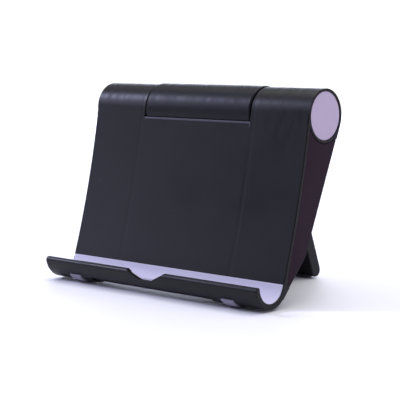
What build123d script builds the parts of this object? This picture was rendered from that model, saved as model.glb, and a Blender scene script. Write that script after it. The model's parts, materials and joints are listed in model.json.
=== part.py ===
"""A folding desk stand for a tablet or phone, about 100 mm wide.

A thin front sheet carries the device: it bows down from a hinge barrel and curls up into a cradle with a
cable notch.  Two rear covers box in its outer thirds, and a leg hangs from the hinge between them.  The leg
folds flush with the covers, or swings out and holds at any click of a sprung face ratchet in the barrel.

Frame: X runs along the hinge, +Y points away from the user and +Z is up.  The origin is on the table, under
the middle of the stand.  Side profiles are drawn square to the hinge, with their origin on its axis: in a
body frame whose second axis runs up the flat backs of the covers, and in a leg frame, which is the body
frame turned by the leg's opening.  All sizes are in millimetres and degrees.
"""

from build123d import *

from math import asin, atan2, cos, degrees, hypot, radians, sin, sqrt, tan
from os import makedirs

# ---------------------------------------------------------------- driving dimensions
# Overall
stand_width = 100.0  # over the two end faces of the barrel
hinge_to_cradle = 61.0  # hinge axis to cradle axis, along the backs of the covers
cradle_forward = 4.7  # cradle axis in front of the hinge axis, square to the backs
barrel_radius = 9.25  # the two side barrels, outside
leg_barrel_proud = 0.35  # the leg's own barrel, between them, stands this far out of them
leg_width = 49.0
sheet_wall = 2.1  # panel and cradle
panel_bow_radius = 360.0  # hollow curve of the panel's face
overrun = 1.0  # how far a cut or a rib runs on past the face it must reach

# Cradle
cradle_radius = 6.3  # inside of the bare cradle
lip_angle = 155.5  # from straight behind, round the bottom, to the lip's end
lip_flat = 0.4  # left between the two rounds of the lip's end
lip_inner_round = 0.4
notch_top_width = 18.8
notch_floor_width = 5.2
notch_depth = 3.3
notch_round = 3.0
arch_half_width = 28.5  # relief under the cradle between the two feet
arch_depth = 0.6
arch_end_angle = 112.0  # below straight behind
side_edge_round = 0.4
cutout_chamfer = 0.3

# Liner and its lugs
liner_pocket = 0.7
liner_proud = 0.1
liner_end_inset = 0.4
liner_panel_rise = 1.2  # how far the liner climbs the panel above the cradle's curve
liner_lip_gap = 9.0  # degrees of bare cradle between the liner and the lip's end
lug_centre = 36.2
lug_width = 5.4
lug_start_angle = 56.0  # below straight behind
lug_end_angle = 115.0
lug_proud = 0.5
lug_clearance = 0.1
contact_flat = 0.15  # depth of the flats on the lugs and the leg's pads, where they rest

# Rear covers
cover_side_wall = 1.6
cover_back_wall = 1.8
cover_heel_slope = 20.0  # the heel leans this much from the back
cover_knee_radius = 8.0
cover_top_drop = 5.0  # seam under the barrel, below the hinge axis
cover_toe_run = 5.0  # length of heel that belongs to the front shell
recess_wall = 1.8
seam_gap = 0.1
sheet_lap = 1.1  # sheet left over the edge of each cover's side wall
cover_rib_width = 1.2
cover_rib_height = 3.0
cover_rib_spacing = 12.0
cover_rib_count = 3

# Hinge barrel
leg_end_gap = 0.4  # beside the leg's barrel and plate
leg_round_gap = 0.45  # round the leg's barrel
partition_wall = 2.5
barrel_wall = 1.65
key_count = 4
key_width = 1.6
key_height = 0.7
key_length = 13.0

# End caps
cap_ledge = 0.8  # shoulder in the barrel's end that each cap sits on
cap_thickness = 1.3
cap_recess = 0.2
cap_clearance = 0.05
cap_skirt_wall = 1.1
cap_skirt_length = 3.0
cap_slot_width = 2.0
cap_slot_count = 4
cap_edge_round = 0.3

# Face ratchet
tooth_count = 24
tooth_height = 0.8
tooth_root_share = 0.52  # of the pitch, at a tooth's root
tooth_flank_angle = 14.0
tooth_play = 0.1
tooth_inner_radius = 4.4
clicks_open = 3
hub_flange_clearance = 0.9  # to the barrel's bore
hub_flange_thickness = 1.8
hub_step = 0.7  # from the hub's flange down to its journal
journal_clearance = 0.08
hub_end_play = 0.2
spline_radius = 4.7
spline_key_reach = 0.8
spline_key_width = 1.5
spline_key_count = 6
spline_length = 8.0
spline_clearance = 0.05
slider_clearance = 0.15
slider_length = 6.0
slider_cup_depth = 3.8

# Axle, springs, washers and clips
axle_radius = 2.0
axle_clearance = 0.1
axle_end_gap = 0.8
axle_end_chamfer = 0.4
clip_groove_depth = 0.5
clip_thickness = 0.8
clip_radius = 3.8
clip_mouth_angle = 76.0
clip_edge_distance = 1.2
washer_radius = 5.2
washer_thickness = 0.8
spring_wire = 1.0
spring_radius = 3.6  # to the middle of the wire
spring_turns = 6.5
spring_cup_clearance = 0.5

# Leg
leg_thickness = 5.0
leg_skin = 1.8
leg_side_wall = 1.6
leg_tip_solid = 6.0
leg_root_solid = 11.0  # from the hinge axis down to the inside of the leg
leg_cover_thickness = 1.2
leg_cover_ledge = 0.8
leg_cover_clearance = 0.15
leg_rib_width = 1.2
leg_rib_spacing = 15.0
leg_rib_count = 2
leg_barrel_core = 12.0  # length of solid barrel at each end, round the spline socket
leg_barrel_wall = 1.7
leg_edge_round = 0.5
leg_root_round = 1.0  # hollow corner between the leg's front and its barrel
pad_proud = 0.6
pad_seat = 1.0
pad_inset = 3.0
pad_width = 10.0
pad_start_angle = 25.0
pad_end_angle = 160.0

# ---------------------------------------------------------------- derived geometry
half_width = stand_width / 2
leg_barrel_radius = barrel_radius + leg_barrel_proud
barrel_bore_radius = barrel_radius - barrel_wall
cap_radius = barrel_bore_radius + cap_ledge
hub_flange_radius = barrel_bore_radius - hub_flange_clearance
hub_journal_radius = hub_flange_radius - hub_step
leg_half = leg_width / 2
side_start = leg_half + leg_end_gap  # inner end of each side barrel
side_run = half_width - side_start
lip_outer_round = sheet_wall - lip_inner_round - lip_flat
neck_front = sheet_wall - barrel_radius  # front of the solid that ties each side barrel to the panel
cradle_centre = (-cradle_forward, -hinge_to_cradle)
cradle_outer = cradle_radius + sheet_wall
lug_radius = cradle_outer + lug_proud
leg_length = hinge_to_cradle + cradle_outer  # the folded tip is level with the cradle's underside
tip_radius = leg_thickness / 2
tip_centre = (leg_barrel_radius - tip_radius, tip_radius - leg_length)
pad_radius = tip_radius + pad_proud
tooth_pitch = 360.0 / tooth_count
opening = clicks_open * tooth_pitch


def turned(point, angle):
    """The point turned about the hinge by an angle in degrees."""
    c, s = cos(radians(angle)), sin(radians(angle))
    return (point[0] * c - point[1] * s, point[0] * s + point[1] * c)


def polar(centre, radius, angle):
    """Point at a radius and an angle in degrees from a centre."""
    return (centre[0] + radius * cos(radians(angle)), centre[1] + radius * sin(radians(angle)))


# The panel's bow touches the side barrels from outside and the cradle from inside.
bow_to_hinge = panel_bow_radius + barrel_radius
bow_to_cradle = panel_bow_radius - cradle_radius
centre_distance = hypot(*cradle_centre)
bow_along = (bow_to_hinge**2 - bow_to_cradle**2 + centre_distance**2) / (2 * centre_distance)
bow_aside = sqrt(bow_to_hinge**2 - bow_along**2)
bow_centre = (
    (bow_along * cradle_centre[0] + bow_aside * cradle_centre[1]) / centre_distance,
    (bow_along * cradle_centre[1] - bow_aside * cradle_centre[0]) / centre_distance,
)
bow_top_angle = degrees(atan2(-bow_centre[1], -bow_centre[0]))
bow_low_angle = degrees(atan2(cradle_centre[1] - bow_centre[1], cradle_centre[0] - bow_centre[0]))
liner_top_angle = bow_low_angle + degrees(liner_panel_rise / panel_bow_radius)

# The stand rests on the lugs and on the leg's pads: its lean levels their common tangent.
foot = turned(tip_centre, opening)
foot_reach = (foot[0] - cradle_centre[0], foot[1] - cradle_centre[1])
lean = degrees(atan2(foot_reach[1], foot_reach[0]) + asin((lug_radius - pad_radius) / hypot(*foot_reach)))
cradle_level = turned(cradle_centre, -lean)
foot_level = turned(foot, -lean)
hinge_z = lug_radius - cradle_level[1]
hinge_y = -((cradle_level[0] - cradle_outer) + (foot_level[0] + pad_radius)) / 2

# Heel of the covers: a flat that touches the cradle's outside.  Its end, the toe, is the front shell's.
heel_touch = polar(cradle_centre, cradle_outer, -cover_heel_slope)
toe_rise = cover_toe_run * cos(radians(cover_heel_slope))
toe = (heel_touch[0] + cover_toe_run * sin(radians(cover_heel_slope)), heel_touch[1] + toe_rise)

# Stations along the hinge, from the middle outward.
hub_flange_start = side_start + partition_wall + hub_end_play
hub_face = hub_flange_start + hub_flange_thickness
slider_face = hub_face + tooth_height + tooth_play
cup_floor = slider_face + slider_length - slider_cup_depth
cap_face = half_width - cap_recess
cap_back = cap_face - cap_thickness
axle_half = cap_back - axle_end_gap
clip_start = axle_half - clip_edge_distance - clip_thickness
washer_start = clip_start - washer_thickness
slider_radius = barrel_bore_radius - slider_clearance
axle_bore = axle_radius + axle_clearance
spring_cup_radius = spring_radius + spring_wire / 2 + spring_cup_clearance
spring_run = washer_start - cup_floor - spring_wire

# Heights over the table.
lip_height = hinge_z + turned(polar(cradle_centre, cradle_radius + sheet_wall / 2, -lip_angle), -lean)[1]
cradle_y = hinge_y + cradle_level[0]


def body_at(x):
    """Plane square to the hinge at x, in the body frame."""
    c, s = cos(radians(lean)), sin(radians(lean))
    return Plane(origin=(x, hinge_y, hinge_z), x_dir=(0, c, -s), z_dir=(1, 0, 0))


def leg_at(x):
    """Plane square to the hinge at x, in the leg frame."""
    turn = radians(opening - lean)
    return Plane(origin=(x, hinge_y, hinge_z), x_dir=(0, cos(turn), sin(turn)), z_dir=(1, 0, 0))


def sheet_band(inner, outer, top, end):
    """Band between two depths behind the front face, from a bow angle down and round the cradle."""
    low = bow_low_angle
    face_low = polar(cradle_centre, cradle_radius + inner, -end)
    back_low = polar(cradle_centre, cradle_radius + outer, -end)
    face_top = polar(bow_centre, panel_bow_radius + inner, top)
    back_top = polar(bow_centre, panel_bow_radius + outer, top)
    with BuildSketch(Plane.XY) as band:
        with BuildLine():
            CenterArc(bow_centre, panel_bow_radius + inner, low, top - low)
            CenterArc(cradle_centre, cradle_radius + inner, low, -(end + low))
            Line(face_low, back_low)
            CenterArc(cradle_centre, cradle_radius + outer, low, -(end + low))
            CenterArc(bow_centre, panel_bow_radius + outer, low, top - low)
            Line(back_top, face_top)
        make_face()
    return band.sketch


def cover_region(back_wall, top, bottom, gap):
    """Section of a cover between two heights, from the panel's back to its own back and heel."""
    back = barrel_radius - back_wall
    slope = radians(cover_heel_slope)
    heel = (heel_touch[0] - back_wall * cos(slope), heel_touch[1] + back_wall * sin(slope))
    knee_height = heel[1] + (back - heel[0]) / tan(slope)
    heel_low = (heel[0] + (bottom - heel[1]) * tan(slope), bottom)
    with BuildSketch(Plane.XY) as region:
        with BuildLine():
            Polyline(
                (-barrel_radius, top),
                (back, top),
                (back, knee_height),
                heel_low,
                (-barrel_radius, bottom),
                close=True,
            )
        make_face()
        fillet(region.vertices().sort_by_distance((back, knee_height))[0], cover_knee_radius - back_wall)
        with Locations(bow_centre):
            Circle(panel_bow_radius + sheet_wall + gap, mode=Mode.SUBTRACT)
        with Locations(cradle_centre):
            Circle(cradle_outer + gap, mode=Mode.SUBTRACT)
    return region.sketch


def lug_section(clearance):
    """Section of a lug, or of the window round it, from the liner out to the table."""
    spread = degrees(clearance / cradle_outer)
    first = spread - lug_start_angle
    last = -spread - lug_end_angle
    with BuildSketch(Plane.XY) as section:
        with BuildLine():
            CenterArc(cradle_centre, lug_radius + contact_flat, first, last - first)
            CenterArc(cradle_centre, cradle_radius, first, last - first)
            for angle in (first, last):
                inner_end = polar(cradle_centre, cradle_radius, angle)
                Line(inner_end, polar(cradle_centre, lug_radius + contact_flat, angle))
        make_face()
    return section.sketch


def arc_pad(centre, inner, outer, first, last):
    """Section of a pad that wraps a round edge, between two radii and two angles."""
    with BuildSketch(Plane.XY) as section:
        with BuildLine():
            CenterArc(centre, outer, first, last - first)
            CenterArc(centre, inner, first, last - first)
            for angle in (first, last):
                Line(polar(centre, inner, angle), polar(centre, outer, angle))
        make_face()
    return section.sketch


def tooth_ring(first):
    """Root outlines of one ring of face teeth, the first at an angle."""
    half_tooth = tooth_pitch * tooth_root_share / 2
    with BuildSketch(Plane.XY) as ring:
        for index in range(tooth_count):
            middle = first + index * tooth_pitch
            with BuildLine():
                Polyline(
                    polar((0, 0), tooth_inner_radius, middle - half_tooth),
                    polar((0, 0), hub_flange_radius, middle - half_tooth),
                    polar((0, 0), hub_flange_radius, middle + half_tooth),
                    polar((0, 0), tooth_inner_radius, middle + half_tooth),
                    close=True,
                )
            make_face()
    return ring.sketch


# ---------------------------------------------------------------- front shell
with BuildSketch(Plane.XY) as sheet_profile:
    add(sheet_band(0, sheet_wall, bow_top_angle, lip_angle))
    lip_tip = polar(cradle_centre, cradle_outer, -lip_angle)
    fillet(sheet_profile.vertices().sort_by_distance(lip_tip)[0], lip_outer_round)
    lip_edge = polar(cradle_centre, cradle_radius, -lip_angle)
    fillet(sheet_profile.vertices().sort_by_distance(lip_edge)[0], lip_inner_round)

with BuildSketch(Plane.XY) as neck_profile:
    with BuildLine():
        Polyline(
            (neck_front, 0),
            (barrel_radius, 0),
            (barrel_radius, -cover_top_drop),
            (neck_front, -cover_top_drop),
            close=True,
        )
    make_face()

with BuildSketch(Plane.XY) as toe_profile:
    with BuildLine():
        Polyline(
            heel_touch,
            toe,
            (cradle_centre[0] + cradle_outer - sheet_wall / 2, toe[1]),
            polar(cradle_centre, cradle_outer - sheet_wall / 2, -cover_heel_slope),
            close=True,
        )
    make_face()

with BuildSketch(Plane.XY) as liner_pocket_profile:
    add(sheet_band(-cradle_radius / 2, liner_pocket, liner_top_angle, lip_angle - liner_lip_gap))

with BuildSketch(Plane.XY) as arch_profile:
    add(arc_pad(cradle_centre, cradle_outer - arch_depth, cradle_outer + sheet_wall, 0, -arch_end_angle))

with BuildSketch(Plane.XY) as recess_wall_profile:
    add(cover_region(cover_back_wall + seam_gap, -cover_top_drop / 2, toe[1], 0))

with BuildSketch(Plane.XZ) as notch_profile:
    with BuildLine():
        Polyline(
            (-notch_floor_width / 2, lip_height - notch_depth),
            (notch_floor_width / 2, lip_height - notch_depth),
            (notch_top_width / 2, lip_height),
            (notch_top_width / 2, lip_height + notch_round),
            (-notch_top_width / 2, lip_height + notch_round),
            (-notch_top_width / 2, lip_height),
            close=True,
        )
    make_face()
    fillet(notch_profile.vertices().group_by(Axis.Y)[0], notch_round)
    fillet(notch_profile.vertices().filter_by_position(Axis.Y, lip_height, lip_height), notch_round)

with BuildPart() as front_shell:
    with BuildSketch(body_at(-half_width)):
        add(sheet_profile.sketch)
    extrude(amount=stand_width)
    sheet_ends = front_shell.faces().filter_by(Axis.X).edges()
    fillet(sheet_ends.filter_by(GeomType.CIRCLE), side_edge_round)
    for start in (-half_width, side_start):
        with BuildSketch(body_at(start)):
            Circle(barrel_radius)
            add(neck_profile.sketch)
            add(toe_profile.sketch)
        extrude(amount=side_run)
    for start in (-side_start - recess_wall, side_start):
        with BuildSketch(body_at(start)):
            add(recess_wall_profile.sketch)
        extrude(amount=recess_wall)
    # Lap for the covers' side walls behind the panel's long edges
    for start in (-half_width, half_width - cover_side_wall - seam_gap):
        with BuildSketch(body_at(start)):
            add(cover_region(0, -cover_top_drop, toe[1], sheet_lap - sheet_wall))
            Circle(barrel_radius, mode=Mode.SUBTRACT)
            with Locations(cradle_centre):
                Circle(cradle_outer, mode=Mode.SUBTRACT)
        extrude(amount=cover_side_wall + seam_gap, mode=Mode.SUBTRACT)
    # Opening round the leg's barrel, which leaves the panel a knife edge
    with BuildSketch(body_at(-side_start)):
        Circle(leg_barrel_radius + leg_round_gap)
        with Locations((0, barrel_radius)):
            Rectangle(3 * barrel_radius, 2 * barrel_radius)
    extrude(amount=2 * side_start, mode=Mode.SUBTRACT)
    for inner_end in (-side_start, side_start):
        rims = front_shell.edges().filter_by_position(Axis.X, inner_end, inner_end)
        arcs = rims.filter_by(GeomType.CIRCLE)
        outer_rims = [rim for rim in arcs if round(rim.radius, 3) in (barrel_radius, panel_bow_radius)]
        chamfer(outer_rims, cutout_chamfer)
    # Journals, barrel bores and cap seats
    with BuildSketch(body_at(-half_width)):
        Circle(hub_journal_radius + journal_clearance)
    extrude(amount=stand_width, mode=Mode.SUBTRACT)
    for start in (-half_width, side_start + partition_wall):
        with BuildSketch(body_at(start)):
            Circle(barrel_bore_radius)
        extrude(amount=side_run - partition_wall, mode=Mode.SUBTRACT)
    for start in (-half_width, cap_back):
        with BuildSketch(body_at(start)):
            Circle(cap_radius)
        extrude(amount=half_width - cap_back, mode=Mode.SUBTRACT)
    # Keys that stop the ratchet sliders turning
    for start in (-side_start - partition_wall - key_length, side_start + partition_wall):
        with BuildSketch(body_at(start)):
            with PolarLocations(barrel_bore_radius, key_count):
                Rectangle(2 * key_height, key_width)
        extrude(amount=key_length)
    # Liner pocket, lug windows, arch between the feet and cable notch
    with BuildSketch(body_at(liner_end_inset - half_width)):
        add(liner_pocket_profile.sketch)
    extrude(amount=stand_width - 2 * liner_end_inset, mode=Mode.SUBTRACT)
    for middle in (-lug_centre, lug_centre):
        with BuildSketch(body_at(middle - lug_width / 2 - lug_clearance)):
            add(lug_section(lug_clearance))
        extrude(amount=lug_width + 2 * lug_clearance, mode=Mode.SUBTRACT)
    with BuildSketch(body_at(-arch_half_width)):
        add(arch_profile.sketch)
    extrude(amount=2 * arch_half_width, mode=Mode.SUBTRACT)
    with BuildSketch(Plane.XZ.offset(-cradle_y)):
        add(notch_profile.sketch)
    extrude(amount=2 * cradle_outer, mode=Mode.SUBTRACT)

# ---------------------------------------------------------------- rear covers
with BuildPart() as rear_cover_right:
    with BuildSketch(body_at(side_start)):
        add(cover_region(0, -cover_top_drop - seam_gap, toe[1] + seam_gap, seam_gap))
        Circle(barrel_radius + seam_gap, mode=Mode.SUBTRACT)
    extrude(amount=side_run)
    lap_back = sheet_lap + seam_gap - sheet_wall
    with BuildSketch(body_at(half_width - cover_side_wall)):
        add(cover_region(0, -cover_top_drop - seam_gap, toe[1] + seam_gap, lap_back))
        Circle(barrel_radius + seam_gap, mode=Mode.SUBTRACT)
        with Locations(cradle_centre):
            Circle(cradle_outer + seam_gap, mode=Mode.SUBTRACT)
    extrude(amount=cover_side_wall)
    outer_face = rear_cover_right.faces().sort_by(Axis.X)[-1]
    behind = outer_face.center() + (0, stand_width, 0)
    fillet(outer_face.edges().sort_by_distance(behind)[:3], side_edge_round)
    with BuildSketch(body_at(side_start)):
        add(cover_region(cover_back_wall, 0, heel_touch[1], -seam_gap))
    extrude(amount=side_run - cover_side_wall, mode=Mode.SUBTRACT)
    with BuildSketch(body_at(side_start + recess_wall + seam_gap)):
        with Locations((barrel_radius - cover_back_wall - cover_rib_height / 2, -2 * cover_rib_spacing)):
            with GridLocations(0, cover_rib_spacing, 1, cover_rib_count):
                Rectangle(cover_rib_height + seam_gap, cover_rib_width)
    extrude(amount=side_run - cover_side_wall - recess_wall - seam_gap)

with BuildPart() as rear_cover_left:
    mirror(rear_cover_right.part, about=Plane.YZ)

# ---------------------------------------------------------------- cradle liner
with BuildSketch(Plane.XY) as liner_profile:
    add(sheet_band(-liner_proud, liner_pocket, liner_top_angle, lip_angle - liner_lip_gap))

with BuildPart() as cradle_liner:
    with BuildSketch(body_at(liner_end_inset - half_width)):
        add(liner_profile.sketch)
    extrude(amount=stand_width - 2 * liner_end_inset)
    for middle in (-lug_centre, lug_centre):
        with BuildSketch(body_at(middle - lug_width / 2)):
            add(lug_section(0))
        extrude(amount=lug_width)
    split(bisect_by=Plane.XY)
    with BuildSketch(Plane.XZ.offset(-cradle_y)):
        add(notch_profile.sketch)
    extrude(amount=2 * cradle_outer, mode=Mode.SUBTRACT)

# ---------------------------------------------------------------- end caps
with BuildPart() as end_cap_right:
    with BuildSketch(body_at(cap_back)):
        Circle(cap_radius - cap_clearance)
    extrude(amount=cap_thickness)
    fillet(end_cap_right.faces().sort_by(Axis.X)[-1].edges(), cap_edge_round)
    with BuildSketch(body_at(cap_back - cap_skirt_length)):
        Circle(barrel_bore_radius - cap_clearance)
        Circle(barrel_bore_radius - cap_clearance - cap_skirt_wall, mode=Mode.SUBTRACT)
        for turn in range(cap_slot_count // 2):
            Rectangle(
                2 * barrel_radius,
                cap_slot_width,
                rotation=turn * 360 / cap_slot_count,
                mode=Mode.SUBTRACT,
            )
    extrude(amount=cap_skirt_length)

with BuildPart() as end_cap_left:
    mirror(end_cap_right.part, about=Plane.YZ)

# ---------------------------------------------------------------- hinge axle
with BuildPart() as hinge_axle:
    with BuildSketch(body_at(-axle_half)):
        Circle(axle_radius)
    extrude(amount=2 * axle_half)
    chamfer(hinge_axle.edges().filter_by(GeomType.CIRCLE), axle_end_chamfer)
    for start in (-clip_start - clip_thickness, clip_start):
        with BuildSketch(body_at(start)):
            Circle(2 * axle_radius)
            Circle(axle_radius - clip_groove_depth, mode=Mode.SUBTRACT)
        extrude(amount=clip_thickness, mode=Mode.SUBTRACT)

# ---------------------------------------------------------------- face ratchet
with BuildSketch(Plane.XY) as spline_profile:
    Circle(spline_radius)
    with PolarLocations(spline_radius, spline_key_count):
        Rectangle(2 * spline_key_reach, spline_key_width)

with BuildPart() as ratchet_hub_right:
    with BuildSketch(leg_at(leg_half - spline_length)):
        add(spline_profile.sketch)
    extrude(amount=spline_length)
    with BuildSketch(leg_at(leg_half)):
        Circle(hub_journal_radius)
    extrude(amount=hub_flange_start - leg_half)
    with BuildSketch(leg_at(hub_flange_start)):
        Circle(hub_flange_radius)
    extrude(amount=hub_flange_thickness)
    with BuildSketch(leg_at(hub_face)):
        add(tooth_ring(0))
    extrude(amount=tooth_height, taper=tooth_flank_angle)
    with BuildSketch(leg_at(0)):
        Circle(axle_bore)
    extrude(amount=half_width, mode=Mode.SUBTRACT)

with BuildPart() as ratchet_hub_left:
    mirror(ratchet_hub_right.part, about=Plane.YZ)

with BuildPart() as ratchet_slider_right:
    with BuildSketch(body_at(slider_face)):
        Circle(slider_radius)
        with PolarLocations(barrel_bore_radius, key_count):
            Rectangle(
                2 * (key_height + slider_clearance),
                key_width + 2 * slider_clearance,
                mode=Mode.SUBTRACT,
            )
    extrude(amount=slider_length)
    with BuildSketch(body_at(slider_face)):
        add(tooth_ring(tooth_pitch / 2))
    extrude(amount=-tooth_height, taper=tooth_flank_angle)
    with BuildSketch(body_at(cup_floor)):
        Circle(spring_cup_radius)
    extrude(amount=slider_cup_depth, mode=Mode.SUBTRACT)
    with BuildSketch(body_at(0)):
        Circle(axle_bore)
    extrude(amount=half_width, mode=Mode.SUBTRACT)

with BuildPart() as ratchet_slider_left:
    mirror(ratchet_slider_right.part, about=Plane.YZ)

# ---------------------------------------------------------------- springs, washers and clips
with BuildPart() as ratchet_spring_right:
    with BuildLine():
        coil = Helix(
            pitch=spring_run / spring_turns,
            height=spring_run,
            radius=spring_radius,
            center=(cup_floor + spring_wire / 2, hinge_y, hinge_z),
            direction=(1, 0, 0),
        )
    with BuildSketch(Plane(origin=coil @ 0, z_dir=coil % 0)):
        Circle(spring_wire / 2)
    sweep(is_frenet=True)

with BuildPart() as ratchet_spring_left:
    mirror(ratchet_spring_right.part, about=Plane.YZ)

with BuildPart() as spring_washer_right:
    with BuildSketch(body_at(washer_start)):
        Circle(washer_radius)
        Circle(axle_bore, mode=Mode.SUBTRACT)
    extrude(amount=washer_thickness)

with BuildPart() as spring_washer_left:
    mirror(spring_washer_right.part, about=Plane.YZ)

with BuildPart() as retaining_clip_right:
    with BuildSketch(body_at(clip_start)):
        Circle(clip_radius)
        with BuildLine():
            Polyline(
                (0, 0),
                polar((0, 0), 2 * clip_radius, -clip_mouth_angle / 2),
                polar((0, 0), 2 * clip_radius, clip_mouth_angle / 2),
                close=True,
            )
        make_face(mode=Mode.SUBTRACT)
        Circle(axle_radius - clip_groove_depth, mode=Mode.SUBTRACT)
    extrude(amount=clip_thickness)

with BuildPart() as retaining_clip_left:
    mirror(retaining_clip_right.part, about=Plane.YZ)

# ---------------------------------------------------------------- leg
leg_back = leg_barrel_radius
leg_front = leg_barrel_radius - leg_thickness
tip_solid_height = leg_tip_solid - leg_length

with BuildSketch(Plane.XY) as leg_profile:
    with BuildLine():
        Polyline((leg_back, tip_centre[1]), (leg_back, 0), (leg_front, 0), (leg_front, tip_centre[1]))
        CenterArc(tip_centre, tip_radius, 180, 180)
    make_face()
    Circle(leg_barrel_radius)
    root = (leg_front, -sqrt(leg_barrel_radius**2 - leg_front**2))
    fillet(leg_profile.vertices().sort_by_distance(root)[0], leg_root_round)

with BuildSketch(Plane.XY) as leg_inside_profile:
    with BuildLine():
        Polyline(
            (leg_front - overrun, -leg_root_solid),
            (leg_back - leg_skin, -leg_root_solid),
            (leg_back - leg_skin, tip_solid_height),
            (leg_front - overrun, tip_solid_height),
            close=True,
        )
    make_face()

with BuildSketch(Plane.XY) as leg_cover_seat:
    with BuildLine():
        Polyline(
            (leg_front - overrun, leg_cover_ledge - leg_root_solid),
            (leg_front + leg_cover_thickness, leg_cover_ledge - leg_root_solid),
            (leg_front + leg_cover_thickness, tip_solid_height - leg_cover_ledge),
            (leg_front - overrun, tip_solid_height - leg_cover_ledge),
            close=True,
        )
    make_face()

with BuildSketch(Plane.XY) as leg_cover_profile:
    with BuildLine():
        Polyline(
            (leg_front, leg_cover_ledge - leg_root_solid - leg_cover_clearance),
            (leg_front + leg_cover_thickness, leg_cover_ledge - leg_root_solid - leg_cover_clearance),
            (leg_front + leg_cover_thickness, tip_solid_height - leg_cover_ledge + leg_cover_clearance),
            (leg_front, tip_solid_height - leg_cover_ledge + leg_cover_clearance),
            close=True,
        )
    make_face()

pad_starts = (pad_inset - leg_half, leg_half - pad_inset - pad_width)
pad_outside = pad_radius + contact_flat
pad_profile = arc_pad(tip_centre, tip_radius - pad_seat, pad_outside, -pad_start_angle, -pad_end_angle)
inside_half = leg_half - leg_side_wall
hollow_half = leg_half - leg_barrel_core

with BuildPart() as leg_shell:
    with BuildSketch(leg_at(-leg_half)):
        add(leg_profile.sketch)
    extrude(amount=leg_width)
    leg_ends = leg_shell.faces().filter_by(Axis.X)
    fillet(leg_ends.sort_by(Axis.X)[0].edges() + leg_ends.sort_by(Axis.X)[-1].edges(), leg_edge_round)
    with BuildSketch(leg_at(-inside_half)):
        add(leg_inside_profile.sketch)
    extrude(amount=2 * inside_half, mode=Mode.SUBTRACT)
    with BuildSketch(leg_at(-inside_half - leg_cover_ledge)):
        add(leg_cover_seat.sketch)
    extrude(amount=2 * (inside_half + leg_cover_ledge), mode=Mode.SUBTRACT)
    for index in range(leg_rib_count):
        rib_middle = (index - (leg_rib_count - 1) / 2) * leg_rib_spacing
        with BuildSketch(leg_at(rib_middle - leg_rib_width / 2)):
            with BuildLine():
                Polyline(
                    (leg_front + leg_cover_thickness, overrun - leg_root_solid),
                    (leg_back - leg_skin + overrun, overrun - leg_root_solid),
                    (leg_back - leg_skin + overrun, tip_solid_height - overrun),
                    (leg_front + leg_cover_thickness, tip_solid_height - overrun),
                    close=True,
                )
            make_face()
        extrude(amount=leg_rib_width)
    # Hollow middle of the barrel, open to the inside of the leg
    with BuildSketch(leg_at(-hollow_half)):
        Circle(leg_barrel_radius - leg_barrel_wall)
        with BuildLine():
            Polyline(
                (leg_front + leg_cover_thickness, 0),
                (leg_back - leg_skin, 0),
                (leg_back - leg_skin, -leg_root_solid - overrun),
                (leg_front + leg_cover_thickness, -leg_root_solid - overrun),
                close=True,
            )
        make_face()
    extrude(amount=2 * hollow_half, mode=Mode.SUBTRACT)
    # Axle bore and spline sockets
    with BuildSketch(leg_at(-half_width)):
        Circle(axle_bore)
    extrude(amount=stand_width, mode=Mode.SUBTRACT)
    slot_width = spline_key_width + 2 * spline_clearance
    for start in (-leg_half, leg_half - spline_length - leg_end_gap):
        with BuildSketch(leg_at(start)):
            Circle(spline_radius + spline_clearance)
            with PolarLocations(spline_radius, spline_key_count):
                Rectangle(2 * (spline_key_reach + spline_clearance), slot_width)
        extrude(amount=spline_length + leg_end_gap, mode=Mode.SUBTRACT)
    for start in pad_starts:
        with BuildSketch(leg_at(start)):
            add(pad_profile)
        extrude(amount=pad_width, mode=Mode.SUBTRACT)

with BuildPart() as leg_cover:
    with BuildSketch(leg_at(-inside_half - leg_cover_ledge + leg_cover_clearance)):
        add(leg_cover_profile.sketch)
    extrude(amount=2 * (inside_half + leg_cover_ledge - leg_cover_clearance))

with BuildPart() as leg_foot_pad_right:
    with BuildSketch(leg_at(pad_starts[1])):
        add(pad_profile)
    extrude(amount=pad_width)
    split(bisect_by=Plane.XY)

with BuildPart() as leg_foot_pad_left:
    mirror(leg_foot_pad_right.part, about=Plane.YZ)

# ---------------------------------------------------------------- export
pieces = {
    "front_shell": front_shell,
    "rear_cover_right": rear_cover_right,
    "rear_cover_left": rear_cover_left,
    "cradle_liner": cradle_liner,
    "end_cap_right": end_cap_right,
    "end_cap_left": end_cap_left,
    "hinge_axle": hinge_axle,
    "ratchet_hub_right": ratchet_hub_right,
    "ratchet_hub_left": ratchet_hub_left,
    "ratchet_slider_right": ratchet_slider_right,
    "ratchet_slider_left": ratchet_slider_left,
    "ratchet_spring_right": ratchet_spring_right,
    "ratchet_spring_left": ratchet_spring_left,
    "spring_washer_right": spring_washer_right,
    "spring_washer_left": spring_washer_left,
    "retaining_clip_right": retaining_clip_right,
    "retaining_clip_left": retaining_clip_left,
    "leg_shell": leg_shell,
    "leg_cover": leg_cover,
    "leg_foot_pad_right": leg_foot_pad_right,
    "leg_foot_pad_left": leg_foot_pad_left,
}
makedirs("parts", exist_ok=True)
for name, piece in pieces.items():
    piece.part.label = name
    export_step(piece.part, f"parts/{name}.step")

print(f"hinge axis y {hinge_y:.3f} z {hinge_z:.3f}, lean {lean:.3f}, lip {lip_height:.3f}")
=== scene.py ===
"""Looks of a folding tablet stand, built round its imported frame.

The stand is black satin ABS with lavender silicone and caps.  Each sub-assembly is a class that holds its
sizes as fields and builds, dresses and mounts its own pieces; each finish is a frozen dataclass that makes
its material.  Sizes are in millimetres in the fields, and in metres in every mesh.
"""

import json
import logging
import math
from dataclasses import dataclass
from enum import Enum
from typing import Iterable, Sequence

import bmesh
import bpy
from mathutils import Matrix, Vector


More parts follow.
